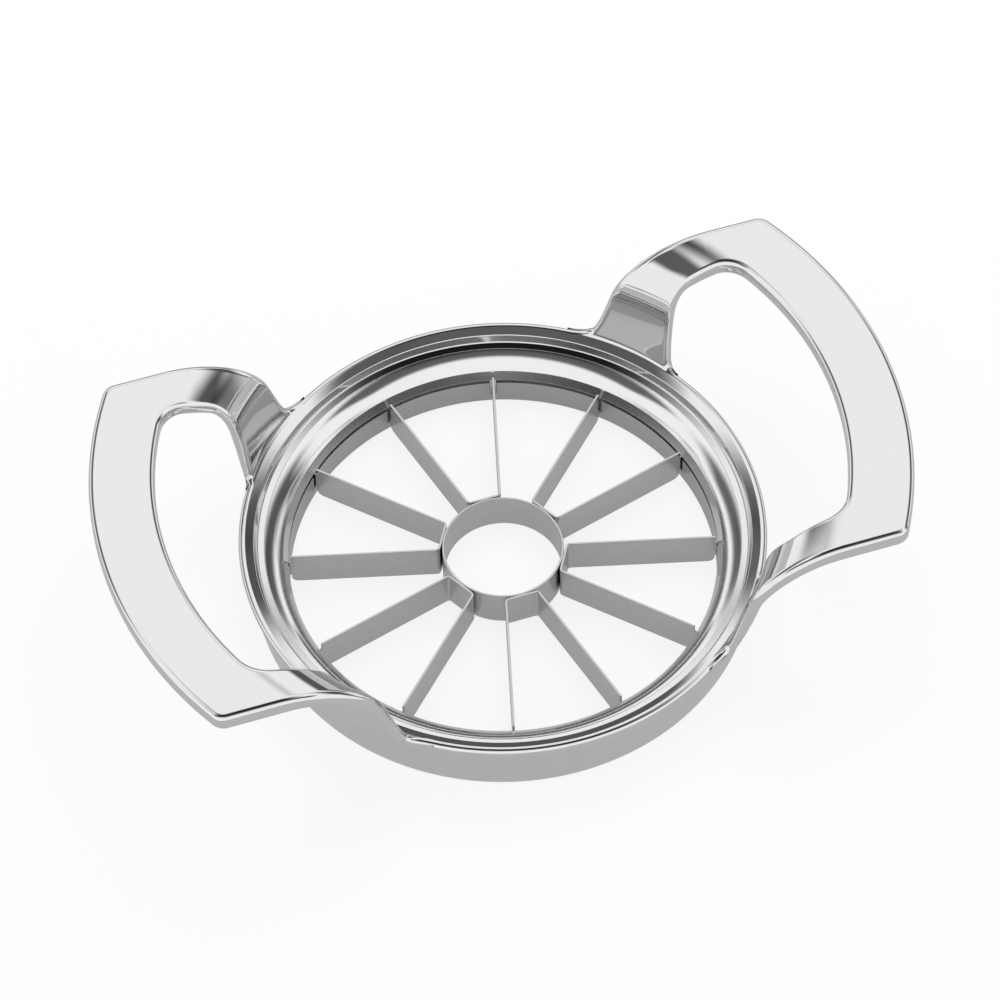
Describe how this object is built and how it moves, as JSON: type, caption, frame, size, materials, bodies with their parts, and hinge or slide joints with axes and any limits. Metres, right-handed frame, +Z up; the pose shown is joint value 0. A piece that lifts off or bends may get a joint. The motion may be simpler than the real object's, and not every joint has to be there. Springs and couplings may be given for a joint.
{
  "type": "apple slicer wedger press",
  "caption": "Hand press that cores and cuts an apple into wedges: a polished cast ring with a looped handle on each side, a pressed collar, a core ring and radial steel blades.",
  "frame": {"origin": "bottom centre of the whole object: on the ring's axis, at the level of the skirt's foot", "axes": "+X from the left handle to the right handle, +Y across the ring, +Z up out of the cutting side"},
  "size_m": [0.1778, 0.1164, 0.0428],
  "materials": {
    "polished_casting": "mirror polished casting",
    "polished_collar": "mirror polished pressed steel",
    "blade_ring_steel": "satin rolled steel",
    "blade_steel": "satin rolled steel with ground edges"
  },
  "bodies": {
    "root": {"handle_frame": "polished_casting", "collar_ring": "polished_collar", "blade_ring": "blade_ring_steel", "core_ring": "blade_steel", "blade_strip_1": "blade_steel", "blade_strip_2": "blade_steel", "blade_strip_3": "blade_steel", "blade_strip_4": "blade_steel", "blade_strip_5": "blade_steel", "blade_strip_6": "blade_steel"}
  },
  "joints": []
}
